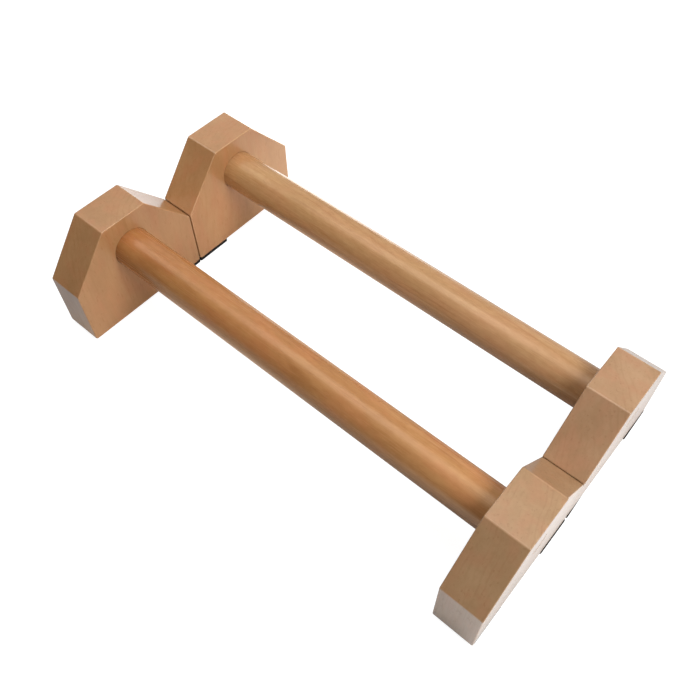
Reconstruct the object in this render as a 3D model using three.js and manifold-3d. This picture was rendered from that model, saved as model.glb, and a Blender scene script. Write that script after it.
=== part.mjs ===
// A pair of free-standing wooden parallel bars (parallettes): two equal units that stand side by side.
// A unit is one round bar held between two six-sided end blocks.
// Each block is bolted to the bar and stands on two pads.
// Millimetres. +X runs along the bars, +Y from the near unit to the far one, +Z up.
// The origin is on the floor, under the middle of the pair.
import * as THREE from "three";
import { mergeVertices } from "three/addons/utils/BufferGeometryUtils.js";
import Module from "manifold-3d";

const wasm = await Module();
wasm.setup();

// The bar.
const BAR_DIAMETER = 35;
const BAR_FREE_LENGTH = 370; // between the inner faces of the two end blocks
const BAR_AXIS_HEIGHT = 69.5; // above the underside of the wood
const BAR_END_CHAMFER = 1;

// The end block: a six-sided outline in Y and Z, with upright short sides, extruded along X.
const BLOCK_WIDTH = 124;
const BLOCK_HEIGHT = 103;
const BLOCK_THICKNESS = 34.8;
const BLOCK_TOP_WIDTH = 44;
const BLOCK_SIDE_HEIGHT = 57.3;
const BLOCK_CORNER_RADIUS = 2.2;
const BLOCK_EDGE_RADIUS = 1.4;
const SOCKET_DEPTH = 14; // how far the bar enters the block

// The pads: two under each block, one at each end of its underside.
const PAD_LENGTH = 35; // along Y
const PAD_DEPTH = 32; // along X
const PAD_THICKNESS = 3;
const PAD_CORNER_RADIUS = 1.5;
const PAD_GLUE_LINE = 0.1;
// How far off their usual place some of the pads were stuck on, along X and Y.
const PAD_OFFSETS = {
  near_left_front_pad: [-3.7, 2.5],
  near_right_front_pad: [0, 2.5],
  near_right_back_pad: [0.7, -1.5],
  far_right_front_pad: [0.8, 0],
  far_right_back_pad: [0.9, 0],
};

// The fastening: an M6 socket head screw through the block into a threaded insert in the bar's end.
const SCREW_DIAMETER = 6;
const SCREW_LENGTH = 30; // under the head
const SCREW_HEAD_DIAMETER = 10;
const SCREW_HEAD_HEIGHT = 6;
const SCREW_TIP_CHAMFER = 0.8;
const SCREW_HEAD_CHAMFER = 0.6;
const HEX_KEY_SIZE = 5; // across flats
const HEX_KEY_DEPTH = 3;
const WASHER_DIAMETER = 14;
const WASHER_THICKNESS = 1.5;
const INSERT_DIAMETER = 10;
const INSERT_LENGTH = 20;
const INSERT_FLANGE_DIAMETER = 13;
const INSERT_FLANGE_THICKNESS = 1.2;
const INSERT_RIDGES = 3;
const INSERT_RIDGE_DEPTH = 0.7;
const INSERT_BORE_SPARE = 3; // bar bore left behind the insert, for the screw's tip
const PLUG_DIAMETER = 16;
const PLUG_THICKNESS = 4;
const PLUG_CHAMFER = 0.4;

// Clearances.
const FIT_GAP = 0.3; // between pieces that sit in or on each other
const UNIT_GAP = 0.5; // between the two units where they stand together

// Facets.
const BAR_FACETS = 48;
const BORE_FACETS = 32;
const SMALL_FACETS = 20;
const CORNER_FACETS = 3;
const EDGE_FACETS = 3;

// Places worked out from the dimensions above.
const WOOD_UNDERSIDE = PAD_THICKNESS + PAD_GLUE_LINE;
const BAR_AXIS_Z = WOOD_UNDERSIDE + BAR_AXIS_HEIGHT;
const INNER_FACE_X = BAR_FREE_LENGTH / 2;
const OUTER_FACE_X = INNER_FACE_X + BLOCK_THICKNESS;
const BAR_END_X = INNER_FACE_X + SOCKET_DEPTH - FIT_GAP;
const HEAD_TOP_X = OUTER_FACE_X - PLUG_THICKNESS - FIT_GAP;
const HEAD_SEAT_X = HEAD_TOP_X - SCREW_HEAD_HEIGHT;
const WASHER_OUTER_X = HEAD_SEAT_X - FIT_GAP;
const COUNTERBORE_FLOOR_X = WASHER_OUTER_X - WASHER_THICKNESS - FIT_GAP;
const UNIT_SPACING = BLOCK_WIDTH + UNIT_GAP;

const MATERIALS = {
  block: { color: 0xc29a74, roughness: 0.42, metalness: 0 },
  bar: { color: 0xc8985f, roughness: 0.36, metalness: 0 },
  plug: { color: 0xb98e66, roughness: 0.45, metalness: 0 },
  pad: { color: 0x151515, roughness: 0.85, metalness: 0 },
  steel: { color: 0xb9bcc0, roughness: 0.3, metalness: 1 },
  brass: { color: 0xc9a557, roughness: 0.35, metalness: 1 },
};

// A closed geometry as a manifold-3d solid.
function solidOf(geometry) {
  const bare = geometry.clone();
  bare.deleteAttribute("normal");
  bare.deleteAttribute("uv");
  const merged = mergeVertices(bare, 1e-4);
  return new wasm.Manifold(
    new wasm.Mesh({
      numProp: 3,
      vertProperties: merged.attributes.position.array,
      triVerts: new Uint32Array(merged.index.array),
    }),
  );
}

function geometryOf(solid) {
  const mesh = solid.getMesh();
  const geometry = new THREE.BufferGeometry();
  geometry.setAttribute("position", new THREE.BufferAttribute(mesh.vertProperties, 3));
  geometry.setIndex(new THREE.BufferAttribute(mesh.triVerts, 1));
  geometry.computeVertexNormals();
  return geometry;
}

// A closed outline with each corner rounded by an arc; corners run anticlockwise.
function roundedOutline(corners, radius) {
  const outline = new THREE.Shape();
  corners.forEach((corner, i) => {
    const before = corners[(i + corners.length - 1) % corners.length];
    const after = corners[(i + 1) % corners.length];
    const toBefore = before.clone().sub(corner).normalize();
    const toAfter = after.clone().sub(corner).normalize();
    const halfAngle = Math.acos(toBefore.dot(toAfter)) / 2;
    const middle = toBefore.clone().add(toAfter).normalize();
    const centre = corner.clone().addScaledVector(middle, radius / Math.sin(halfAngle));
    const start = corner.clone().addScaledVector(toBefore, radius / Math.tan(halfAngle)).sub(centre);
    const turn = Math.PI - 2 * halfAngle;
    for (let step = 0; step <= CORNER_FACETS; step++) {
      const angle = start.angle() + (turn * step) / CORNER_FACETS;
      const x = centre.x + radius * Math.cos(angle);
      const y = centre.y + radius * Math.sin(angle);
      if (i === 0 && step === 0) outline.moveTo(x, y);
      else outline.lineTo(x, y);
    }
  });
  return outline;
}

// A solid of revolution about X, from pairs of distance along X and radius.
function turned(profile, facets) {
  const points = profile.map(([along, radius]) => new THREE.Vector2(radius, along));
  return new THREE.LatheGeometry(points, facets).rotateZ(-Math.PI / 2);
}

// A plain round tool for cutting a bore along X.
function boreTool(startX, endX, diameter) {
  const radius = diameter / 2;
  return turned([[startX, 0], [startX, radius], [endX, radius], [endX, 0]], BORE_FACETS);
}

// The end block at the +X end, with the bar's socket, the screw's hole and the counterbore under the plug.
function blockGeometry() {
  const halfWidth = BLOCK_WIDTH / 2;
  const halfTop = BLOCK_TOP_WIDTH / 2;
  const corners = [
    new THREE.Vector2(-halfWidth, 0),
    new THREE.Vector2(halfWidth, 0),
    new THREE.Vector2(halfWidth, BLOCK_SIDE_HEIGHT),
    new THREE.Vector2(halfTop, BLOCK_HEIGHT),
    new THREE.Vector2(-halfTop, BLOCK_HEIGHT),
    new THREE.Vector2(-halfWidth, BLOCK_SIDE_HEIGHT),
  ];
  const body = new THREE.ExtrudeGeometry(roundedOutline(corners, BLOCK_CORNER_RADIUS), {
    depth: BLOCK_THICKNESS - 2 * BLOCK_EDGE_RADIUS,
    bevelThickness: BLOCK_EDGE_RADIUS,
    bevelSize: BLOCK_EDGE_RADIUS,
    bevelOffset: -BLOCK_EDGE_RADIUS,
    bevelSegments: EDGE_FACETS,
  });
  // The outline's x and y become Y and Z, and the depth of the extrusion becomes X.
  body.rotateY(Math.PI / 2).rotateX(Math.PI / 2);
  body.translate(INNER_FACE_X + BLOCK_EDGE_RADIUS, 0, WOOD_UNDERSIDE);
  const past = 1; // each tool starts this far outside the face that it cuts
  const cuts = [
    boreTool(INNER_FACE_X - past, INNER_FACE_X + SOCKET_DEPTH, BAR_DIAMETER + 2 * FIT_GAP),
    boreTool(INNER_FACE_X, OUTER_FACE_X, SCREW_DIAMETER + 2 * FIT_GAP),
    boreTool(COUNTERBORE_FLOOR_X, OUTER_FACE_X + past, PLUG_DIAMETER + 2 * FIT_GAP),
  ];
  return geometryOf(
    cuts.reduce((solid, cut) => solid.subtract(solidOf(cut.translate(0, 0, BAR_AXIS_Z))), solidOf(body)),
  );
}

// The bar, with a stepped bore in each end for the insert and its flange.
function barGeometry() {
  const radius = BAR_DIAMETER / 2;
  const boreRadius = INSERT_DIAMETER / 2 + FIT_GAP;
  const flangeRadius = INSERT_FLANGE_DIAMETER / 2 + FIT_GAP;
  const flangeFloor = BAR_END_X - INSERT_FLANGE_THICKNESS - FIT_GAP;
  const boreEnd = BAR_END_X - INSERT_LENGTH - INSERT_BORE_SPARE;
  const rightHalf = [
    [BAR_END_X - BAR_END_CHAMFER, radius],
    [BAR_END_X, radius - BAR_END_CHAMFER],
    [BAR_END_X, flangeRadius],
    [flangeFloor, flangeRadius],
    [flangeFloor, boreRadius],
    [boreEnd, boreRadius],
    [boreEnd, 0],
  ];
  const leftHalf = rightHalf.map(([along, distance]) => [-along, distance]).reverse();
  return turned([...leftHalf, ...rightHalf], BAR_FACETS).translate(0, 0, BAR_AXIS_Z);
}

// The threaded insert in the bar's +X end: a flanged tube with ridges that grip the wood.
function insertGeometry() {
  const outer = INSERT_DIAMETER / 2;
  const inner = SCREW_DIAMETER / 2 + FIT_GAP;
  const flange = INSERT_FLANGE_DIAMETER / 2;
  const flangeFloor = BAR_END_X - INSERT_FLANGE_THICKNESS;
  const tip = BAR_END_X - INSERT_LENGTH;
  const pitch = (flangeFloor - tip) / INSERT_RIDGES;
  const ridges = [];
  for (let i = 0; i < INSERT_RIDGES; i++) {
    ridges.push([tip + i * pitch, outer - INSERT_RIDGE_DEPTH]);
    ridges.push([tip + (i + 0.8) * pitch, outer]);
  }
  const profile = [
    [tip, inner],
    ...ridges,
    [flangeFloor, outer - INSERT_RIDGE_DEPTH],
    [flangeFloor, flange],
    [BAR_END_X, flange],
    [BAR_END_X, inner],
    [tip, inner],
  ];
  return turned(profile, SMALL_FACETS).translate(0, 0, BAR_AXIS_Z);
}

// The socket head screw, its head under the plug and its tip in the bar.
function screwGeometry() {
  const radius = SCREW_DIAMETER / 2;
  const headRadius = SCREW_HEAD_DIAMETER / 2;
  const tip = HEAD_SEAT_X - SCREW_LENGTH;
  const body = turned(
    [
      [tip, 0],
      [tip, radius - SCREW_TIP_CHAMFER],
      [tip + SCREW_TIP_CHAMFER, radius],
      [HEAD_SEAT_X, radius],
      [HEAD_SEAT_X, headRadius],
      [HEAD_TOP_X - SCREW_HEAD_CHAMFER, headRadius],
      [HEAD_TOP_X, headRadius - SCREW_HEAD_CHAMFER],
      [HEAD_TOP_X, 0],
    ],
    SMALL_FACETS,
  );
  const hexRadius = HEX_KEY_SIZE / Math.sqrt(3);
  const floor = HEAD_TOP_X - HEX_KEY_DEPTH;
  const mouth = HEAD_TOP_X + 1;
  const key = turned([[floor, 0], [floor, hexRadius], [mouth, hexRadius], [mouth, 0]], 6);
  return geometryOf(solidOf(body).subtract(solidOf(key))).translate(0, 0, BAR_AXIS_Z);
}

function washerGeometry() {
  const inner = SCREW_DIAMETER / 2 + FIT_GAP;
  const outer = WASHER_DIAMETER / 2;
  const innerX = WASHER_OUTER_X - WASHER_THICKNESS;
  const profile = [
    [innerX, inner],
    [innerX, outer],
    [WASHER_OUTER_X, outer],
    [WASHER_OUTER_X, inner],
    [innerX, inner],
  ];
  return turned(profile, SMALL_FACETS).translate(0, 0, BAR_AXIS_Z);
}

// The wooden plug that closes the counterbore flush with the block's outer face.
function plugGeometry() {
  const radius = PLUG_DIAMETER / 2;
  const innerX = OUTER_FACE_X - PLUG_THICKNESS;
  const profile = [
    [innerX, 0],
    [innerX, radius - PLUG_CHAMFER],
    [innerX + PLUG_CHAMFER, radius],
    [OUTER_FACE_X - PLUG_CHAMFER, radius],
    [OUTER_FACE_X, radius - PLUG_CHAMFER],
    [OUTER_FACE_X, 0],
  ];
  return turned(profile, BORE_FACETS).translate(0, 0, BAR_AXIS_Z);
}

// One flat pad about its own centre in X and Y, standing on the floor.
function padGeometry() {
  const halfX = PAD_DEPTH / 2;
  const halfY = PAD_LENGTH / 2;
  const corners = [
    new THREE.Vector2(-halfX, -halfY),
    new THREE.Vector2(halfX, -halfY),
    new THREE.Vector2(halfX, halfY),
    new THREE.Vector2(-halfX, halfY),
  ];
  return new THREE.ExtrudeGeometry(roundedOutline(corners, PAD_CORNER_RADIUS), {
    depth: PAD_THICKNESS,
    bevelEnabled: false,
  });
}

function piece(name, geometry, finish) {
  const mesh = new THREE.Mesh(geometry, new THREE.MeshStandardMaterial(MATERIALS[finish]));
  mesh.name = name;
  return mesh;
}

// Everything at one end of a bar: the +X end as modelled, or the -X end by half a turn about Z.
function endOf(unitName, endName) {
  const end = new THREE.Group();
  const prefix = `${unitName}_${endName}`;
  const turnedRound = endName === "left";
  end.rotation.z = turnedRound ? Math.PI : 0;
  end.add(piece(`${prefix}_block`, blockGeometry(), "block"));
  end.add(piece(`${prefix}_plug`, plugGeometry(), "plug"));
  end.add(piece(`${prefix}_screw`, screwGeometry(), "steel"));
  end.add(piece(`${prefix}_washer`, washerGeometry(), "steel"));
  end.add(piece(`${prefix}_insert`, insertGeometry(), "brass"));
  return end;
}

// The two pads under one block, front towards -Y and back towards +Y, each in a corner of its underside.
function padsOf(unitName, endName) {
  const blockX = (endName === "left" ? -1 : 1) * (INNER_FACE_X + BLOCK_THICKNESS / 2);
  const padY = (BLOCK_WIDTH - PAD_LENGTH) / 2;
  const faceShift = (BLOCK_THICKNESS - PAD_DEPTH) / 2;
  return ["front", "back"].map((side) => {
    const pad = piece(`${unitName}_${endName}_${side}_pad`, padGeometry(), "pad");
    const [offsetX, offsetY] = PAD_OFFSETS[pad.name] ?? [0, 0];
    pad.position.set(blockX + faceShift + offsetX, (side === "front" ? -padY : padY) + offsetY, 0);
    return pad;
  });
}

function unitOf(unitName, y) {
  const unit = new THREE.Group();
  unit.position.y = y;
  unit.add(piece(`${unitName}_bar`, barGeometry(), "bar"));
  for (const endName of ["left", "right"]) {
    unit.add(endOf(unitName, endName));
    unit.add(...padsOf(unitName, endName));
  }
  return unit;
}

const pair = new THREE.Group();
pair.add(unitOf("near", -UNIT_SPACING / 2));
pair.add(unitOf("far", UNIT_SPACING / 2));

export default pair;
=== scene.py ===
import math

import bmesh
import bpy
from mathutils import Matrix, Vector, noise


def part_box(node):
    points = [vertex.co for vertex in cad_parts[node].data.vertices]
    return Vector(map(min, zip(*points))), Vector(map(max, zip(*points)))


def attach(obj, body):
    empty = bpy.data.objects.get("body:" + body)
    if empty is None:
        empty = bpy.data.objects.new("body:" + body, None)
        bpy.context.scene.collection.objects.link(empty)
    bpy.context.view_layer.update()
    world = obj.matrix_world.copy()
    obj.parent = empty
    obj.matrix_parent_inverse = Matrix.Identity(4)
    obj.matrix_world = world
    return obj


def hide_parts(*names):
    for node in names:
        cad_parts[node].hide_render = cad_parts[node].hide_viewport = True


# A pair of wooden parallel bars. The CAD pieces are the frame; the wood, the pads and the light are
# made here. Metres. +X runs along the bars, +Y from the near unit to the far one, +Z up from the floor.
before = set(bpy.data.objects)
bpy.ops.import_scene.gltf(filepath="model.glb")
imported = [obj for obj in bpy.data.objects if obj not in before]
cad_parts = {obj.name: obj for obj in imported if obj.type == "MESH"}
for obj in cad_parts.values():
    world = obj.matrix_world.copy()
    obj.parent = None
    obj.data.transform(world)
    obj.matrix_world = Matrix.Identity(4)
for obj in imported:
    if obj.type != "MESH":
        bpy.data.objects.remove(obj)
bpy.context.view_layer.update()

UNITS = ("near", "far")
ENDS = ("left", "right")
SIDES = ("front", "back")
MM = 0.001

# ---------------------------------------------------------------- sizes of the pieces

BLOCK_TOP_WIDTH = 44 * MM
BLOCK_SIDE_HEIGHT = 57.3 * MM
BLOCK_CORNER_RADIUS = 2.2 * MM
BLOCK_EDGE_RADIUS = 1 * MM
SOCKET_DEPTH = 14 * MM
SOCKET_GAP = 0.08 * MM  # between the bar and the wall of its socket
SCREW_HOLE_RADIUS = 3.3 * MM
COUNTERBORE_RADIUS = 8.3 * MM
COUNTERBORE_DEPTH = 12.4 * MM
SOCKET_EASE = 0.12 * MM  # the small chamfer round the socket's mouth
MOUTH_EASE = 0.2 * MM  # the same round the counterbore's mouth
# How far the sides that face the other unit are sanded back.
SEAM_EASE = {"left": 0.3 * MM, "right": 0.05 * MM}
PAD_CORNER_RADIUS = 1.5 * MM
PAD_EDGE_RADIUS = 0.2 * MM
INSERT_BORE_RADIUS = 5.3 * MM
FLANGE_BORE_RADIUS = 6.8 * MM
FLANGE_BORE_DEPTH = 1.5 * MM
INSERT_BORE_DEPTH = 23 * MM
BAR_END_CHAMFER = 1 * MM

# ---------------------------------------------------------------- camera

# Angles in degrees, lens and sensor in millimetres.
CAMERA_PLACE = Vector((0.2473, -0.2796, 0.5575))
CAMERA_AZIMUTH = 39.318
CAMERA_ELEVATION = 54.811
CAMERA_ROLL = 0.742
CAMERA_LENS = 39.60
CAMERA_SENSOR = 36
CAMERA_SHIFT = (-0.0204, -0.0056)  # the picture is cut slightly off the lens's centre
CAMERA_CLIP_START = 0.01


def make_camera():
    azimuth, elevation = math.radians(CAMERA_AZIMUTH), math.radians(CAMERA_ELEVATION)
    roll = math.radians(CAMERA_ROLL)
    back = Vector((
        math.sin(azimuth) * math.cos(elevation),
        -math.cos(azimuth) * math.cos(elevation),
        math.sin(elevation),
    ))
    level = Vector((0, 0, 1)).cross(back).normalized()
    upright = back.cross(level)
    right = level * math.cos(roll) + upright * math.sin(roll)
    up = upright * math.cos(roll) - level * math.sin(roll)
    data = bpy.data.cameras.new("camera")
    data.lens = CAMERA_LENS
    data.sensor_width = CAMERA_SENSOR
    data.shift_x, data.shift_y = CAMERA_SHIFT
    data.clip_start = CAMERA_CLIP_START
    camera = bpy.data.objects.new("camera", data)
    turned = Matrix((right, up, back)).transposed().to_4x4()
    camera.matrix_world = Matrix.Translation(CAMERA_PLACE) @ turned
    bpy.context.scene.collection.objects.link(camera)
    bpy.context.scene.camera = camera


make_camera()

# ---------------------------------------------------------------- meshes made of rings

SHARP_ABOVE = 32  # degrees between faces
WEIGHTED_NORMAL_BIAS = 90
EASED_STEPS = 3


def add_object(name, mesh):
    made = bpy.data.objects.new(name, mesh)
    bpy.context.scene.collection.objects.link(made)
    return made


def mesh_of_rings(name, rings, closed=False, start_pole=None, end_pole=None):
    """A mesh of quads between rings of equal length, with a fan to a pole at an open end."""
    count = len(rings[0])
    points = [p for ring in rings for p in ring]
    faces = []
    last = len(rings) if closed else len(rings) - 1
    for i in range(last):
        a, b = i * count, ((i + 1) % len(rings)) * count
        for j in range(count):
            k = (j + 1) % count
            faces.append((a + j, a + k, b + k, b + j))
    if start_pole is not None:
        points.append(start_pole)
        faces += [(len(points) - 1, (j + 1) % count, j) for j in range(count)]
    if end_pole is not None:
        points.append(end_pole)
        a = (len(rings) - 1) * count
        faces += [(len(points) - 1, a + j, a + (j + 1) % count) for j in range(count)]
    mesh = bpy.data.meshes.new(name)
    mesh.from_pydata([tuple(p) for p in points], [], faces)
    work = bmesh.new()
    work.from_mesh(mesh)
    bmesh.ops.recalc_face_normals(work, faces=work.faces)
    if work.calc_volume(signed=True) < 0:
        bmesh.ops.reverse_faces(work, faces=work.faces)
    work.to_mesh(mesh)
    work.free()
    return mesh


def shade(piece, angle=SHARP_ABOVE):
    """Smooth shading, kept crisp at sharp corners, with flat faces kept flat."""
    for polygon in piece.data.polygons:
        polygon.use_smooth = True
    sharp_above = math.radians(angle)
    work = bmesh.new()
    work.from_mesh(piece.data)
    for edge in work.edges:
        edge.smooth = len(edge.link_faces) == 2 and edge.calc_face_angle() < sharp_above
    work.to_mesh(piece.data)
    work.free()
    weighted = piece.modifiers.new("flat_faces", "WEIGHTED_NORMAL")
    weighted.keep_sharp = True
    weighted.weight = WEIGHTED_NORMAL_BIAS
    return piece


def turned_rings(profile, columns, centre):
    """Rings round a line along X through centre, from pairs of distance along X and radius."""
    rings = []
    for along, radius in profile:
        ring = []
        for j in range(columns):
            turn = 2 * math.pi * j / columns
            y = centre.y + radius * math.cos(turn)
            z = centre.z + radius * math.sin(turn)
            ring.append(Vector((along, y, z)))
        rings.append(ring)
    return rings


def eased(along, radius, ease, outward):
    """A quarter round in a turned profile, from the surface along the axis to a face across it."""
    turns = [t * math.pi / 2 / EASED_STEPS for t in range(EASED_STEPS + 1)]
    return [
        (along + outward * ease * (math.sin(turn) - 1), radius + ease * (math.cos(turn) - 1))
        for turn in turns
    ]


# ---------------------------------------------------------------- end blocks

OUTLINE_ARC_STEPS = 5
OUTLINE_STEP = 6 * MM  # about one column for each this much of a straight edge
FACE_RINGS = 7
WALL_RINGS = 7
EDGE_STEPS = 5
EDGE_UNEVENNESS = 0.12  # the share of an arris's radius that its sanding varies by
EDGE_WAVES = (40, 60)  # waves per metre of that variation, from end to end and round the block
SOCKET_FLOOR_SHARE = 0.6  # where the ring that steadies the socket's flat floor lies
# How pale the arrises of each block are made: partly rubbed wear and partly a painted highlight along the
# arris.
ARRIS_WEAR_AND_HIGHLIGHT = {"near_left": 0.35, "far_left": 1.0, "near_right": 0.3, "far_right": 0.25}
CORNER_GAP = 1 * MM  # the points of a rounded corner are closer together than this


def rounded_polygon(corners, radius, step):
    """A function of inset that gives the outline's points, always as many and in the same order."""
    arcs = []
    for i, corner in enumerate(corners):
        before = (corners[i - 1] - corner).normalized()
        after = (corners[(i + 1) % len(corners)] - corner).normalized()
        half = math.acos(max(-1, min(1, before.dot(after)))) / 2
        centre = corner + (before + after).normalized() * radius / math.sin(half)
        start = corner + before * radius / math.tan(half) - centre
        arcs.append((centre, math.atan2(start.y, start.x), math.pi - 2 * half))

    def on_arc(centre, angle, inset):
        return centre + Vector((math.cos(angle), math.sin(angle))) * (radius - inset)

    def outline(inset):
        points = []
        for i, (centre, first, turn) in enumerate(arcs):
            for t in range(OUTLINE_ARC_STEPS + 1):
                points.append(on_arc(centre, first + turn * t / OUTLINE_ARC_STEPS, inset))
            leaving = points[-1]
            next_centre, next_first, _ = arcs[(i + 1) % len(arcs)]
            arriving = on_arc(next_centre, next_first, inset)
            between = max(1, round((next_centre - centre).length / step))
            points += [leaving.lerp(arriving, t / between) for t in range(1, between)]
        return points

    return outline


def block_outline(unit, end, low, high):
    middle = (low.y + high.y) / 2
    half_top = BLOCK_TOP_WIDTH / 2
    shoulder = low.z + BLOCK_SIDE_HEIGHT
    front = low.y + (SEAM_EASE[end] if unit == "far" else 0)
    back = high.y - (SEAM_EASE[end] if unit == "near" else 0)
    corners = [
        Vector((front, low.z)),
        Vector((back, low.z)),
        Vector((back, shoulder)),
        Vector((middle + half_top, high.z)),
        Vector((middle - half_top, high.z)),
        Vector((front, shoulder)),
    ]
    return rounded_polygon(corners, BLOCK_CORNER_RADIUS, OUTLINE_STEP)


def corner_columns(points):
    """Which of an outline's points lie inside a rounded corner, where they are close together."""
    count = len(points)
    gaps = [(points[(j + 1) % count] - points[j]).length for j in range(count)]
    return [max(gaps[j - 1], gaps[j]) < CORNER_GAP for j in range(count)]


def arris_marks(sections, corners, wear_and_highlight):
    """For each point of the block, its wear and painted highlight on a rounded arris, and 0 elsewhere."""
    marks = []
    for kind, section in sections:
        for step in range(len(section)):
            along_edge = kind == "edge" and 0 < step < EDGE_STEPS
            on_skin = kind in ("edge", "wall")
            marks += [wear_and_highlight if along_edge or (on_skin and corner) else 0.0 for corner in corners]
    return marks


def circle_maker(centre, first_point, columns):
    """A function that gives a ring round the bar's axis, its columns in step with the outline's."""
    first = first_point - centre
    lead = math.atan2(first.y, first.x)
    turns = [lead + 2 * math.pi * j / columns for j in range(columns)]

    def circle(x, radius):
        points = [centre + Vector((math.cos(t), math.sin(t))) * radius for t in turns]
        return [Vector((x, p.x, p.y)) for p in points]

    return circle


def arris_sizes(outer_x, points):
    """The radius of the arris at each point of the outline, slightly uneven as sanding leaves it."""
    across, round_block = EDGE_WAVES
    sizes = []
    for point in points:
        place = Vector((outer_x * across, point.x * round_block, point.y * round_block))
        uneven = EDGE_UNEVENNESS * noise.noise(place)
        sizes.append(BLOCK_EDGE_RADIUS * (1 - EDGE_UNEVENNESS + uneven))
    return sizes


def rounded_edge(outline, sizes, face_x, inward):
    """The arris from a face to the wall; inward is the way into the wood along X."""
    flat, inset = outline(0), outline(BLOCK_EDGE_RADIUS)
    rings = []
    for t in range(EDGE_STEPS + 1):
        angle = math.pi / 2 * t / EDGE_STEPS
        ring = []
        for j, size in enumerate(sizes):
            point = flat[j].lerp(inset[j], size / BLOCK_EDGE_RADIUS * (1 - math.sin(angle)))
            x = face_x + inward * size * (1 - math.cos(angle))
            ring.append(Vector((x, point.x, point.y)))
        rings.append(ring)
    return rings


def blended(start, stop, count):
    """Rings at equal steps from one ring towards another, the first one included."""
    return [[a.lerp(b, t / count) for a, b in zip(start, stop)] for t in range(count)]


def socket_rings(circle, inner_x, outward, radius):
    floor_x = inner_x + outward * SOCKET_DEPTH
    return [
        circle(floor_x, SCREW_HOLE_RADIUS),
        circle(floor_x, radius * SOCKET_FLOOR_SHARE),
        circle(floor_x, radius),
        circle(floor_x - outward * SOCKET_DEPTH / 2, radius),
        circle(inner_x + outward * SOCKET_EASE, radius),
    ]


def counterbore_rings(circle, outer_x, outward):
    floor_x = outer_x - outward * COUNTERBORE_DEPTH
    return [
        circle(outer_x - outward * MOUTH_EASE, COUNTERBORE_RADIUS),
        circle(floor_x, COUNTERBORE_RADIUS),
        circle(floor_x, SCREW_HOLE_RADIUS),
    ]


def block_sections(unit, end, outline):
    """The block's rings in order, from the socket over the faces and the wall to the counterbore."""
    low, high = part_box(f"{unit}_{end}_block")
    bar_low, bar_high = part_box(f"{unit}_bar")
    socket_radius = (bar_high.z - bar_low.z) / 2 + SOCKET_GAP
    centre = Vector(((bar_low.y + bar_high.y) / 2, (bar_low.z + bar_high.z) / 2))
    flat = outline(0)
    circle = circle_maker(centre, flat[0], len(flat))
    outward = 1 if end == "right" else -1
    inner_x, outer_x = (low.x, high.x) if end == "right" else (high.x, low.x)
    sizes = arris_sizes(outer_x, flat)
    inner_edge = rounded_edge(outline, sizes, inner_x, outward)
    outer_edge = rounded_edge(outline, sizes, outer_x, -outward)
    inner_mouth = circle(inner_x, socket_radius + SOCKET_EASE)
    outer_mouth = circle(outer_x, COUNTERBORE_RADIUS + MOUTH_EASE)
    return [
        ("bore", socket_rings(circle, inner_x, outward, socket_radius)),
        ("face", blended(inner_mouth, inner_edge[0], FACE_RINGS)),
        ("edge", inner_edge),
        ("wall", blended(inner_edge[-1], outer_edge[-1], WALL_RINGS)[1:]),
        ("edge", outer_edge[::-1]),
        ("face", blended(outer_mouth, outer_edge[0], FACE_RINGS)[::-1]),
        ("bore", counterbore_rings(circle, outer_x, outward)),
    ]


def make_block(unit, end):
    node = f"{unit}_{end}_block"
    outline = block_outline(unit, end, *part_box(node))
    sections = block_sections(unit, end, outline)
    rings = [ring for _, section in sections for ring in section]
    piece = add_object(f"{node}_wood", mesh_of_rings(f"{node}_wood", rings, closed=True))
    # Each point's share of the paler arris colour: rubbed wear and a painted highlight.
    wear_and_highlight = arris_marks(sections, corner_columns(outline(0)), ARRIS_WEAR_AND_HIGHLIGHT[f"{unit}_{end}"])
    piece.data.attributes.new("arris", "FLOAT", "POINT").data.foreach_set("value", wear_and_highlight)
    shade(piece)
    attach(piece, f"{unit}_unit")
    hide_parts(node)
    return piece


# ---------------------------------------------------------------- bars, plugs and pads

BAR_COLUMNS = 96
BAR_RINGS = 72
BAR_WAVE = 0.05 * MM  # how far the sanded surface strays from a true round
BAR_WAVES = (12, 60)  # waves per metre of that, along the bar and round it
BAR_SKIN = 0.1 * MM  # only points this close to the surface stray


def bar_end_profile(half, radius):
    """Distance from the bar's middle and radius, from the insert's bore out to the bar's surface."""
    bore_floor = half - INSERT_BORE_DEPTH
    flange_seat = half - FLANGE_BORE_DEPTH
    return [
        (bore_floor, INSERT_BORE_RADIUS / 2),
        (bore_floor, INSERT_BORE_RADIUS),
        (flange_seat, INSERT_BORE_RADIUS),
        (flange_seat, FLANGE_BORE_RADIUS),
        (half, FLANGE_BORE_RADIUS),
        (half, (FLANGE_BORE_RADIUS + radius) / 2),
        (half, radius - BAR_END_CHAMFER),
        (half - BAR_END_CHAMFER, radius),
    ]


def sand_unevenly(rings, centre, radius):
    """Moves the points of a bar's surface slightly inwards, in long low waves."""
    lengthwise, round_bar = BAR_WAVES
    for ring in rings:
        for p in ring:
            away = Vector((0, p.y - centre.y, p.z - centre.z))
            if away.length > radius - BAR_SKIN:
                wave = noise.noise(Vector((p.x * lengthwise, p.y * round_bar, p.z * round_bar)))
                p -= away.normalized() * BAR_WAVE * (1 + wave) / 2


def make_bar(unit):
    node = f"{unit}_bar"
    low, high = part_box(node)
    radius = (high.z - low.z) / 2
    centre = (low + high) / 2
    half = (high.x - low.x) / 2
    end_profile = bar_end_profile(half, radius)
    reach = half - BAR_END_CHAMFER
    middle = [(-reach + 2 * reach * t / BAR_RINGS, radius) for t in range(1, BAR_RINGS)]
    profile = [(-x, r) for x, r in end_profile] + middle + end_profile[::-1]
    rings = turned_rings(profile, BAR_COLUMNS, centre)
    sand_unevenly(rings, centre, radius)
    bottom = half - INSERT_BORE_DEPTH
    poles = [Vector((x, centre.y, centre.z)) for x in (-bottom, bottom)]
    mesh = mesh_of_rings(f"{node}_wood", rings, start_pole=poles[0], end_pole=poles[1])
    piece = shade(add_object(f"{node}_wood", mesh))
    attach(piece, f"{unit}_unit")
    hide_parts(node)
    return piece


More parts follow.
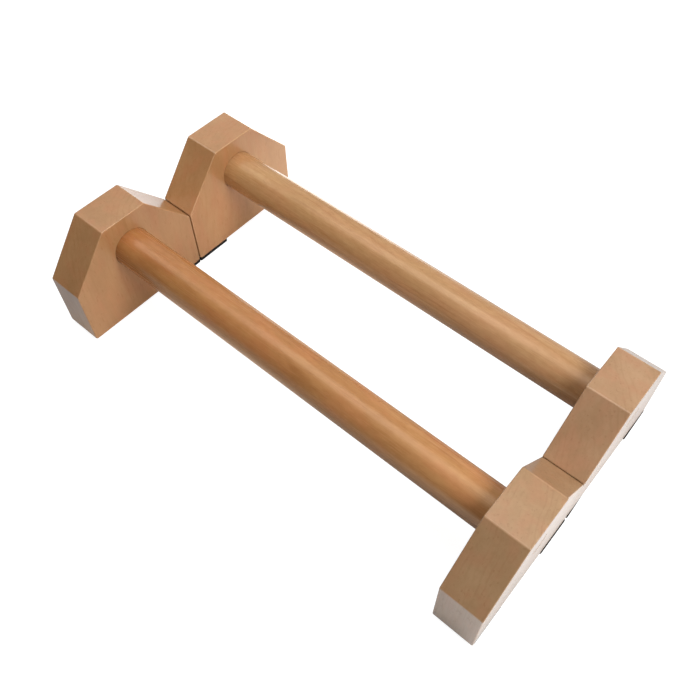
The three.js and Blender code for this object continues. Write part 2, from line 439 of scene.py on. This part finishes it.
PLUG_COLUMNS = 48
PLUG_EASE = 0.4 * MM
PLUG_CROWN = 0.12 * MM  # how far the sanded rim lies under the plug's middle
PLUG_FACE_SHARES = (0.25, 0.5, 0.75, 0.9)  # the rings of the crowned face, as shares of its radius


def make_plug(unit, end):
    node = f"{unit}_{end}_plug"
    low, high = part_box(node)
    centre = (low + high) / 2
    radius = (high.z - low.z) / 2
    outward = 1 if end == "right" else -1
    outer_x, inner_x = (high.x, low.x) if end == "right" else (low.x, high.x)
    profile = [
        (outer_x - outward * PLUG_CROWN * share ** 2, radius * share)
        for share in PLUG_FACE_SHARES
    ]
    rim_x = outer_x - outward * PLUG_CROWN
    profile += reversed(eased(rim_x, radius, PLUG_EASE, outward))
    profile += [((rim_x + inner_x) / 2, radius)]
    profile += eased(inner_x, radius, PLUG_EASE, -outward)
    profile += [(inner_x, radius / 2)]
    rings = turned_rings(profile, PLUG_COLUMNS, centre)
    poles = [Vector((x, centre.y, centre.z)) for x in (outer_x, inner_x)]
    mesh = mesh_of_rings(f"{node}_wood", rings, start_pole=poles[0], end_pole=poles[1])
    piece = shade(add_object(f"{node}_wood", mesh))
    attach(piece, f"{unit}_unit")
    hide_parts(node)
    return piece


PAD_STEP = 2.5 * MM
PAD_BULGE = 0.04 * MM
PAD_SHARP_ABOVE = 50
PAD_EDGE_STEPS = 3
PAD_SIDE_STEPS = 6
PAD_SOLE_SHARES = (0.2, 0.45, 0.7, 0.88)  # the rings of the pad's underside, as shares of its size
PAD_TOP_SHARES = (0.88, 0.45)
# Pads stuck on askew: how far the outer corner of the back end is turned in under the block.
PADS_ASKEW = {
    "far_right_front_pad": 1.3 * MM,
    "far_right_back_pad": 0.6 * MM,
}


def pad_outline(node, low, high):
    turned_in = PADS_ASKEW.get(node, 0)
    corners = [
        Vector((low.x, low.y)),
        Vector((high.x, low.y)),
        Vector((high.x - turned_in, high.y)),
        Vector((low.x, high.y)),
    ]
    return rounded_polygon(corners, PAD_CORNER_RADIUS, PAD_STEP)


def pad_rings(outline, centre, low_z, high_z):
    """From the underside round the edge, up the slightly bulging side and over the top edge."""
    ease = PAD_EDGE_RADIUS

    def ring_at(z, inset, share=1.0):
        return [Vector((*(centre.lerp(p, share)), z)) for p in outline(inset)]

    def edge_ring(z, away, angle):
        inset = PAD_BULGE + ease * (1 - math.sin(angle))
        return ring_at(z + away * ease * (1 - math.cos(angle)), inset)

    edge_turns = [math.pi / 2 * t / PAD_EDGE_STEPS for t in range(PAD_EDGE_STEPS + 1)]
    rings = [ring_at(low_z, ease + PAD_BULGE, share) for share in PAD_SOLE_SHARES]
    rings += [edge_ring(low_z, 1, angle) for angle in edge_turns]
    for t in range(1, PAD_SIDE_STEPS):
        z = low_z + ease + (high_z - low_z - 2 * ease) * t / PAD_SIDE_STEPS
        rings.append(ring_at(z, PAD_BULGE * (1 - math.sin(math.pi * t / PAD_SIDE_STEPS))))
    rings += [edge_ring(high_z, -1, angle) for angle in reversed(edge_turns)]
    rings += [ring_at(high_z, ease + PAD_BULGE, share) for share in PAD_TOP_SHARES]
    return rings


def make_pad(unit, end, side):
    node = f"{unit}_{end}_{side}_pad"
    low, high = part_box(node)
    centre = Vector(((low.x + high.x) / 2, (low.y + high.y) / 2))
    rings = pad_rings(pad_outline(node, low, high), centre, low.z, high.z)
    poles = [Vector((centre.x, centre.y, z)) for z in (low.z, high.z)]
    mesh = mesh_of_rings(f"{node}_rubber", rings, start_pole=poles[0], end_pole=poles[1])
    piece = shade(add_object(f"{node}_rubber", mesh), PAD_SHARP_ABOVE)
    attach(piece, f"{unit}_unit")
    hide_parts(node)
    return piece


# ---------------------------------------------------------------- materials


def put(tree, kind, inputs=None, **settings):
    """A node with its settings, and its inputs set to values or linked from sockets."""
    made = tree.nodes.new(kind)
    for key, value in settings.items():
        setattr(made, key, value)
    for key, value in (inputs or {}).items():
        if isinstance(value, bpy.types.NodeSocket):
            tree.links.new(value, made.inputs[key])
        else:
            made.inputs[key].default_value = value
    return made


def start_material(name):
    material = bpy.data.materials.new(name)
    material.use_nodes = True
    shader = material.node_tree.nodes["Principled BSDF"]
    return material, material.node_tree, shader


def maths(tree, operation, a, b=0.0, clamp=False):
    return put(tree, "ShaderNodeMath", {0: a, 1: b}, operation=operation, use_clamp=clamp).outputs[0]


def remap(tree, value, low, high, to_low=0.0, to_high=1.0):
    inputs = {"Value": value, "From Min": low, "From Max": high, "To Min": to_low, "To Max": to_high}
    return put(tree, "ShaderNodeMapRange", inputs, interpolation_type="SMOOTHSTEP").outputs[0]


def mix_colours(tree, share, a, b, blend="MIX"):
    made = put(tree, "ShaderNodeMix", {0: share}, data_type="RGBA", blend_type=blend)
    for index, value in ((6, a), (7, b)):
        if isinstance(value, bpy.types.NodeSocket):
            tree.links.new(value, made.inputs[index])
        else:
            made.inputs[index].default_value = (*value, 1)
    return made.outputs[2]


def noise_of(tree, vector, scale, detail=3.0, rough=0.5):
    inputs = {"Vector": vector, "Scale": scale, "Detail": detail, "Roughness": rough}
    return put(tree, "ShaderNodeTexNoise", inputs).outputs[0]


def vector_maths(tree, operation, a, b):
    return put(tree, "ShaderNodeVectorMath", {0: a, 1: b}, operation=operation).outputs[0]


def scaled(tree, vector, amount):
    inputs = {0: vector, "Scale": amount}
    return put(tree, "ShaderNodeVectorMath", inputs, operation="SCALE").outputs[0]


def length_of(tree, vector):
    return put(tree, "ShaderNodeVectorMath", {0: vector}, operation="LENGTH").outputs["Value"]


def stretched(tree, vector, scales):
    return vector_maths(tree, "MULTIPLY", vector, scales)


def add_bump(tree, shader, height, strength, depth):
    bump = put(tree, "ShaderNodeBump", {"Strength": strength, "Distance": depth, "Height": height})
    tree.links.new(bump.outputs[0], shader.inputs["Normal"])


def linear(red, green, blue):
    """An sRGB colour of 0 to 255 as linear light."""
    return tuple(
        v / 12.92 if v <= 0.04045 else ((v + 0.055) / 1.055) ** 2.4
        for v in (red / 255, green / 255, blue / 255)
    )


# The noises that wood is made of: features per metre, twice across the grain and once along it,
# then detail and roughness.
WOOD_NOISES = {
    "uneven": ((45, 45, 4), 3, 0.5),
    "fading": ((60, 60, 12), 2, 0.5),
    "broad": ((34, 34, 9), 4, 0.6),
    "cloud": ((70, 70, 22), 3, 0.55),
    "fibre": ((800, 800, 30), 4, 0.6),
    "fine": ((2600, 2600, 260), 2, 0.5),
    "mottle": ((300, 300, 120), 3, 0.6),
    "dashes": ((560, 560, 150), 1, 0.4),
}
# A span is where an effect starts and is complete in the value that drives it; a layer adds how
# strong it is at these two.
NOISE_SPAN = (0.3, 0.7)  # most of a noise's values lie between these
TRUNK_BEND_SCALES = (9, 9, 4)
TRUNK_BEND = 0.03  # metres
TRUNK_TAPER = 0.05  # how little the rings change along the trunk
RING_TURNS = 1500  # radians of the rings' wave per metre from the pith
RING_UNEVENNESS = 14
LATE_WOOD_FROM = 0.2  # where in that wave the late wood starts
FADING_SPAN = (0.4, 0.7)
CLOUD_LAYER = (0.42, 0.68, 0, 0.85)
FIBRE_SPAN = (0.4, 0.75)
FLECK_SPAN = (0.64, 0.74)
FLECK_DARKNESS = 0.2
MOTTLE_SHARE = 0.8
RUBBED_AND_HIGHLIT_WOOD = linear(226, 186, 146)  # where the arrises are worn pale and carry a painted highlight
RUBBED_AND_HIGHLIT_LEAST, RUBBED_AND_HIGHLIT_MOST = 0.1, 0.42
ROUGH_SPAN = (0.3, 0.9)
FLECK_ROUGHNESS = 0.15
LACQUER_IOR = 1.5
SPECULAR_LEVEL = 0.66
SPECULAR_LOSS = 0.46  # how much lower that is under a full coat
SPECULAR_TINT = (1.0, 0.76, 0.52, 1)
COAT_ROUGHNESS = 0.2
SWAY_SCALE = 55
# How high each part of the wood's relief stands.
RELIEF = {"fine": 0.25, "fibre": 0.5, "flecks": -0.35, "sway": 2.2}
WOOD_BUMP = (0.35, 0.06 * MM)  # strength and depth


def place_in_tree(tree, grain, offset):
    """The place with its Z along the grain and moved by offset, and the distance along the object's X."""
    place = put(tree, "ShaderNodeTexCoord").outputs["Object"]
    parts = put(tree, "ShaderNodeSeparateXYZ", {0: place}).outputs
    if grain == "X":
        swapped = {"X": parts["Y"], "Y": parts["Z"], "Z": parts["X"]}
        place = put(tree, "ShaderNodeCombineXYZ", swapped).outputs[0]
    return vector_maths(tree, "ADD", place, offset), parts["X"]


def late_wood(tree, noises, place, pith, figure):
    """Growth rings round a pith that lies well outside the piece, bent a little along the trunk."""
    inputs = {"Vector": stretched(tree, place, TRUNK_BEND_SCALES), "Scale": 1, "Detail": 2}
    drift = put(tree, "ShaderNodeTexNoise", inputs).outputs[1]
    bent = vector_maths(tree, "ADD", place, scaled(tree, drift, TRUNK_BEND))
    from_pith = vector_maths(tree, "SUBTRACT", bent, pith)
    distance = length_of(tree, stretched(tree, from_pith, (1, 1, TRUNK_TAPER)))
    turns = maths(tree, "MULTIPLY", distance, RING_TURNS)
    phase = maths(tree, "ADD", turns, maths(tree, "MULTIPLY", noises["uneven"], RING_UNEVENNESS))
    late = remap(tree, maths(tree, "SINE", phase), LATE_WOOD_FROM, 1.0)
    fading = remap(tree, noises["fading"], *FADING_SPAN)
    return maths(tree, "MULTIPLY", late, maths(tree, "MULTIPLY", fading, figure))


def wood_colour(tree, noises, late, flecks, tones, figure):
    light, dark, blush, fleck = tones
    layers = (
        (remap(tree, noises["cloud"], *CLOUD_LAYER), blush, "MIX"),
        (remap(tree, noises["fibre"], *FIBRE_SPAN, 0, figure), dark, "MIX"),
        (late, fleck, "MULTIPLY"),
        (remap(tree, noises["mottle"], *NOISE_SPAN, 0, figure * MOTTLE_SHARE), fleck, "MULTIPLY"),
        (maths(tree, "MULTIPLY", flecks, FLECK_DARKNESS), fleck, "MULTIPLY"),
    )
    colour = mix_colours(tree, remap(tree, noises["broad"], *NOISE_SPAN), dark, light)
    for share, tone, blend in layers:
        colour = mix_colours(tree, share, colour, tone, blend)
    return colour


def fade_casts(tree, colour, along, casts):
    """Multiplies a colour by one cast at the bar's left end and by another at its right."""
    fade = remap(tree, along, -BAR_FADE_HALF, BAR_FADE_HALF)
    return mix_colours(tree, 1.0, colour, mix_colours(tree, fade, *casts), "MULTIPLY")


# Pales the arrises: partly rubbed wear, partly a painted highlight along them.
def rub_and_highlight_arrises(tree, colour, cloud):
    arris = put(tree, "ShaderNodeAttribute", attribute_name="arris").outputs["Fac"]
    patchy = remap(tree, cloud, *NOISE_SPAN, RUBBED_AND_HIGHLIT_LEAST, RUBBED_AND_HIGHLIT_MOST)
    return mix_colours(tree, maths(tree, "MULTIPLY", arris, patchy), colour, RUBBED_AND_HIGHLIT_WOOD)


def add_varnish(tree, shader, fibre, flecks, finish):
    coat, smoothest, roughest = finish
    uneven = maths(tree, "ADD", fibre, maths(tree, "MULTIPLY", flecks, FLECK_ROUGHNESS))
    rough = remap(tree, uneven, *ROUGH_SPAN, smoothest, roughest)
    tree.links.new(rough, shader.inputs["Roughness"])
    shader.inputs["IOR"].default_value = LACQUER_IOR
    shader.inputs["Specular IOR Level"].default_value = SPECULAR_LEVEL - SPECULAR_LOSS * coat
    shader.inputs["Specular Tint"].default_value = SPECULAR_TINT
    shader.inputs["Coat Weight"].default_value = coat
    shader.inputs["Coat Roughness"].default_value = COAT_ROUGHNESS
    shader.inputs["Coat IOR"].default_value = LACQUER_IOR


def wood(name, grain, offset, pith, tones, figure, finish, casts=None):
    """Varnished beech with its grain along one axis; offset moves the cut to another part of the tree."""
    material, tree, shader = start_material(name)
    place, along = place_in_tree(tree, grain, offset)
    noises = {
        kind: noise_of(tree, stretched(tree, place, scales), 1, detail, rough)
        for kind, (scales, detail, rough) in WOOD_NOISES.items()
    }
    flecks = remap(tree, noises["dashes"], *FLECK_SPAN)
    late = late_wood(tree, noises, place, pith, figure)
    colour = wood_colour(tree, noises, late, flecks, tones, figure)
    if casts:
        colour = fade_casts(tree, colour, along, casts)
    colour = rub_and_highlight_arrises(tree, colour, noises["cloud"])
    tree.links.new(colour, shader.inputs["Base Color"])
    add_varnish(tree, shader, noises["fibre"], flecks, finish)
    height = 0.0
    shapes = {**noises, "flecks": flecks, "sway": noise_of(tree, place, SWAY_SCALE, 1)}
    for kind, amount in RELIEF.items():
        height = maths(tree, "ADD", maths(tree, "MULTIPLY", shapes[kind], amount), height)
    add_bump(tree, shader, height, *WOOD_BUMP)
    return material


PEBBLE_SCALE = 1400
DUST_SCALE = 160
DUST_LAYER = (0.5, 0.8, 0, 0.5)
DUST_ROUGHNESS = (0.3, 0.8, 0.62, 0.85)
RUBBER_BLACK = (0.006, 0.006, 0.006)
RUBBER_DUSTY = (0.03, 0.028, 0.026)
RUBBER_SPECULAR_LEVEL = 0.3
RUBBER_BUMP = (0.5, 0.12 * MM)


def rubber(name):
    """Matt black foam rubber with a fine pebbled skin and a little grey dust."""
    material, tree, shader = start_material(name)
    place = put(tree, "ShaderNodeTexCoord").outputs["Object"]
    cells = put(tree, "ShaderNodeTexVoronoi", {"Vector": place, "Scale": PEBBLE_SCALE})
    dust = noise_of(tree, place, DUST_SCALE, 4, 0.6)
    colour = mix_colours(tree, remap(tree, dust, *DUST_LAYER), RUBBER_BLACK, RUBBER_DUSTY)
    tree.links.new(colour, shader.inputs["Base Color"])
    tree.links.new(remap(tree, dust, *DUST_ROUGHNESS), shader.inputs["Roughness"])
    shader.inputs["Specular IOR Level"].default_value = RUBBER_SPECULAR_LEVEL
    add_bump(tree, shader, cells.outputs["Distance"], *RUBBER_BUMP)
    return material


STAIN_SCALE = 220
STAIN_SPAN = (0.35, 0.7)
TURNING_MARKS = (9000, 300, 300)  # per metre, close together along the screw's axis
MARKS_SMOOTHER, MARKS_ROUGHER = 0.06, 0.1
METAL_BUMP = (0.2, 0.03 * MM)


def metal(name, bright, dull, roughness):
    """Machined or plated metal with fine turning marks round X and slight staining."""
    material, tree, shader = start_material(name)
    place = put(tree, "ShaderNodeTexCoord").outputs["Object"]
    stain = noise_of(tree, place, STAIN_SCALE, 4, 0.6)
    marks = noise_of(tree, stretched(tree, place, TURNING_MARKS), 1, 2)
    colour = mix_colours(tree, remap(tree, stain, *STAIN_SPAN), bright, dull)
    tree.links.new(colour, shader.inputs["Base Color"])
    rough = remap(tree, marks, *NOISE_SPAN, roughness - MARKS_SMOOTHER, roughness + MARKS_ROUGHER)
    tree.links.new(rough, shader.inputs["Roughness"])
    shader.inputs["Metallic"].default_value = 1
    add_bump(tree, shader, marks, *METAL_BUMP)
    return material


# Beech in four tones: light, dark, a reddish blush, and the tint that darkens rays and late wood.
# The tones and casts carry gains that scratch scripts worked out by comparing renders with the photo.
# Some were then changed.
BLOCK_TONES = (
    linear(185, 142, 100), linear(172, 129, 88), linear(183, 132, 92), linear(205, 180, 155),
)
BAR_TONES = {
    "near": (linear(187, 134, 84), linear(173, 120, 73), linear(187, 125, 79), linear(205, 170, 140)),
    "far": (linear(195, 151, 107), linear(180, 135, 92), linear(190, 140, 99), linear(205, 175, 145)),
}
# The bars' colour shifts from their left end to their right: what the tones are multiplied by at each.
BAR_CASTS = {
    "near": ((0.98, 0.94, 0.87), (1.02, 1.09, 1.17)),
    "far": ((1.04, 1.06, 0.99), (0.97, 1.01, 1.06)),
}
BAR_FADE_HALF = 0.2
# Each block's cast, how its red, green and blue differ from the common tone: partly the tone of the board
# it comes from, and partly painted light and shade that evens out how brightly each block is lit.
BOARD_AND_LIGHT_CASTS = {
    "near_left": (1.047, 1.009, 0.955),
    "far_left": (1.112, 1.071, 1.007),
    "near_right": (0.85, 0.93, 1.035),
    "far_right": (0.928, 1.022, 1.235),
}

# How much clear coat lies on the wood, and how rough the wood is at its smoothest and roughest.
BLOCK_FINISH = (1.0, 0.36, 0.5)
BAR_FINISH = (0.1, 0.22, 0.34)
# How strongly the rings and fibres show.
BLOCK_FIGURE = 0.14
BAR_FIGURE = 0.28
PLUG_FIGURE = 0.4


# A block's tones times its cast, which holds painted light and shade as well as the board's tone.
def board_and_light_tones(unit, end):
    cast = BOARD_AND_LIGHT_CASTS[f"{unit}_{end}"]
    return [tuple(value * share for value, share in zip(tone, cast)) for tone in BLOCK_TONES]


def block_wood(unit, end):
    """The blocks are cut well apart in the tree, with the pith on one side or the other by turns."""
    index = UNITS.index(unit) * 2 + ENDS.index(end)
    offset = (0.31 * index, 0.17 * index, 0.23 * index)
    pith = (0.28 * index + 0.05, 0.17 * index + 0.12 * (-1) ** index, 0)
    tones = board_and_light_tones(unit, end)
    return wood(f"beech_{unit}_{end}_block", "Z", offset, pith, tones, BLOCK_FIGURE, BLOCK_FINISH)


def bar_wood(unit):
    index = UNITS.index(unit)
    offset = (1.3 + 0.4 * index, 0.9 + 0.2 * index, 0.5 * index)
    pith = (1.3 + 0.35 * index, 0.95 + 0.2 * index, 0)
    tones, casts = BAR_TONES[unit], BAR_CASTS[unit]
    return wood(f"beech_{unit}_bar", "X", offset, pith, tones, BAR_FIGURE, BAR_FINISH, casts)


def plug_wood(unit, end):
    index = UNITS.index(unit) * 2 + ENDS.index(end)
    offset = (2.1 + 0.1 * index, 0.3 * index, 0.7)
    pith = (2.0 + 0.1 * index, 0.25 * index, 0)
    tones = board_and_light_tones(unit, end)
    return wood(f"beech_{unit}_{end}_plug", "Z", offset, pith, tones, PLUG_FIGURE, BLOCK_FINISH)


def finish_with(piece, material):
    piece.data.materials.clear()
    piece.data.materials.append(material)


ZINC_ROUGHNESS = 0.28
BRASS_ROUGHNESS = 0.3

pad_rubber = rubber("pad_rubber")
zinc = metal("zinc_plate", linear(205, 207, 210), linear(150, 152, 156), ZINC_ROUGHNESS)
brass = metal("turned_brass", linear(212, 175, 95), linear(160, 122, 58), BRASS_ROUGHNESS)

for unit in UNITS:
    finish_with(make_bar(unit), bar_wood(unit))
    for end in ENDS:
        finish_with(make_block(unit, end), block_wood(unit, end))
        finish_with(make_plug(unit, end), plug_wood(unit, end))
        for side in SIDES:
            finish_with(make_pad(unit, end, side), pad_rubber)
        finish_with(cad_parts[f"{unit}_{end}_screw"], zinc)
        finish_with(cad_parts[f"{unit}_{end}_washer"], zinc)
        finish_with(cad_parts[f"{unit}_{end}_insert"], brass)

# ---------------------------------------------------------------- floor and light

FLOOR_HALF = 4.0
FLOOR_GREY = 0.35
FLOOR_ROUGHNESS = 0.8
FLOOR_SEEN = 0.92  # what the lens sees of the floor beyond its share of the light
ROOM_SEEN = 1.0  # what the lens sees above the floor
LAMP_TARGET = Vector((0, 0, 0.05))

# Which lights there are, and most of their strengths, come from a least-squares fit of trial lights to
# the photo's brightness, made in scratch scripts. The rest were changed from there.

# Patches of the paper floor that the light falls on: middle and half-lengths in X and Y, strength,
# and how far the light is warmed by the wood round it, from 0 to 1. A patch is at its full strength
# out to GLOW_FULL of its half-lengths and is gone at GLOW_GONE of them.
GLOWS = (
    ((0.0, 0.0), (0.20, 0.14), 0.280, 1.0),
    ((-0.35, -0.35), (0.35, 0.25), 0.357, 0.0),
    ((0.30, -0.36), (0.32, 0.25), 1.12, 0.0),
    ((-0.35, 0.40), (0.35, 0.30), 2.996, 0.0),
    ((0.25, 0.40), (0.30, 0.30), 0.458, 0.0),
    ((-0.10, -0.12), (0.12, 0.10), 0.620, 1.0),
    ((-0.10, 0.09), (0.12, 0.10), 0.540, 1.0),
    ((0.28, 0.0), (0.07, 0.22), 1.05, 0.0),
)
GLOW_FULL, GLOW_GONE = 0.3, 1.3
WHITE_LIGHT = Vector((1, 1, 1))
WARM_LIGHT = Vector((1, 0.78, 0.58))
# Soft panels of the room: azimuth, elevation and half-width in degrees, and strength.
PANELS = (
    (0, 90, 40, 1.201),
    (90, 15, 42, 0.540),
    (150, 42, 28, 0.619),
)


def direction_of(azimuth, elevation):
    turn, rise = math.radians(azimuth), math.radians(elevation)
    level = math.cos(rise)
    return Vector((level * math.cos(turn), level * math.sin(turn), math.sin(rise)))


LAMP_DISTANCE = 1.1
# Rectangular lamps: place, size and power in watts. The first is the key light, and the three that
# hang over the bars draw the highlight along them.
LAMPS = (
    (direction_of(0, 45) * LAMP_DISTANCE, (0.5, 0.5), 8.5),
    (direction_of(30, 30) * LAMP_DISTANCE, (0.5, 0.5), 0.318),
    (direction_of(60, 20) * LAMP_DISTANCE, (0.5, 0.5), 1.025),
    (direction_of(135, 20) * LAMP_DISTANCE, (0.5, 0.5), 0.287),
    (Vector((0.0, 0.05, 0.9)), (0.5, 0.42), 0.710),
    (Vector((-0.3, 0.05, 0.9)), (0.5, 0.42), 1.15),
    (Vector((-0.8, -0.05, 0.9)), (0.5, 0.22), 0.75),
    (direction_of(135, 50) * LAMP_DISTANCE, (0.8, 1.0), 0.649),
)


def glow_of(tree, place, middle, half_lengths, strength, warmth):
    away = vector_maths(tree, "SUBTRACT", place, (*middle, 0))
    away = stretched(tree, away, (1 / half_lengths[0], 1 / half_lengths[1], 0))
    glow = remap(tree, length_of(tree, away), GLOW_FULL, GLOW_GONE, strength, 0.0)
    return scaled(tree, WHITE_LIGHT.lerp(WARM_LIGHT, warmth), glow)


def floor_mesh():
    corners = [
        (-FLOOR_HALF, -FLOOR_HALF, 0), (FLOOR_HALF, -FLOOR_HALF, 0),
        (FLOOR_HALF, FLOOR_HALF, 0), (-FLOOR_HALF, FLOOR_HALF, 0),
    ]
    mesh = bpy.data.meshes.new("floor")
    mesh.from_pydata(corners, [], [(0, 1, 2, 3)])
    return mesh


def make_floor():
    """A white paper floor, brighter where the light falls on it, and plain white to the lens."""
    floor = add_object("floor", floor_mesh())
    material, tree, shader = start_material("floor_white")
    shader.inputs["Base Color"].default_value = (FLOOR_GREY, FLOOR_GREY, FLOOR_GREY, 1)
    shader.inputs["Roughness"].default_value = FLOOR_ROUGHNESS
    shader.inputs["Specular IOR Level"].default_value = 0.0
    place = put(tree, "ShaderNodeTexCoord").outputs["Object"]
    glow = (0, 0, 0)
    for patch in GLOWS:
        glow = vector_maths(tree, "ADD", glow_of(tree, place, *patch), glow)
    seen = put(tree, "ShaderNodeLightPath").outputs["Is Camera Ray"]
    shown = mix_colours(tree, seen, glow, (FLOOR_SEEN, FLOOR_SEEN, FLOOR_SEEN))
    tree.links.new(shown, shader.inputs["Emission Color"])
    shader.inputs["Emission Strength"].default_value = 1
    floor.data.materials.append(material)


def make_lamp(name, place, size, power):
    data = bpy.data.lights.new(name, "AREA")
    data.shape = "RECTANGLE"
    data.size, data.size_y = size
    data.energy = power
    lamp = bpy.data.objects.new(name, data)
    lamp.location = place
    lamp.rotation_euler = (place - LAMP_TARGET).to_track_quat("Z", "Y").to_euler()
    bpy.context.scene.collection.objects.link(lamp)


def room_light(tree):
    """The panels' light, by the direction that it comes from."""
    direction = put(tree, "ShaderNodeTexCoord").outputs["Generated"]
    total = 0.0
    for azimuth, elevation, half_width, strength in PANELS:
        inputs = {0: direction, 1: direction_of(azimuth, elevation)}
        dot = put(tree, "ShaderNodeVectorMath", inputs, operation="DOT_PRODUCT")
        rim = math.cos(math.radians(half_width))
        panel = remap(tree, dot.outputs["Value"], rim, 1.0, 0.0, strength)
        total = maths(tree, "ADD", panel, total)
    return total


def make_world():
    """A room lit by soft white panels, which the lens sees as plain white."""
    world = bpy.data.worlds.new("room")
    bpy.context.scene.world = world
    world.use_nodes = True
    tree = world.node_tree
    background = tree.nodes["Background"]
    seen = put(tree, "ShaderNodeLightPath").outputs["Is Camera Ray"]
    inputs = {0: seen, 2: room_light(tree), 3: ROOM_SEEN}
    strength = put(tree, "ShaderNodeMix", inputs, data_type="FLOAT").outputs[0]
    tree.links.new(strength, background.inputs["Strength"])
    background.inputs["Color"].default_value = (1, 1, 1, 1)


make_floor()
make_world()
for number, (place, size, power) in enumerate(LAMPS):
    make_lamp(f"lamp_{number}", place, size, power)

scene = bpy.context.scene
scene.view_settings.view_transform = "Standard"
scene.view_settings.look = "None"
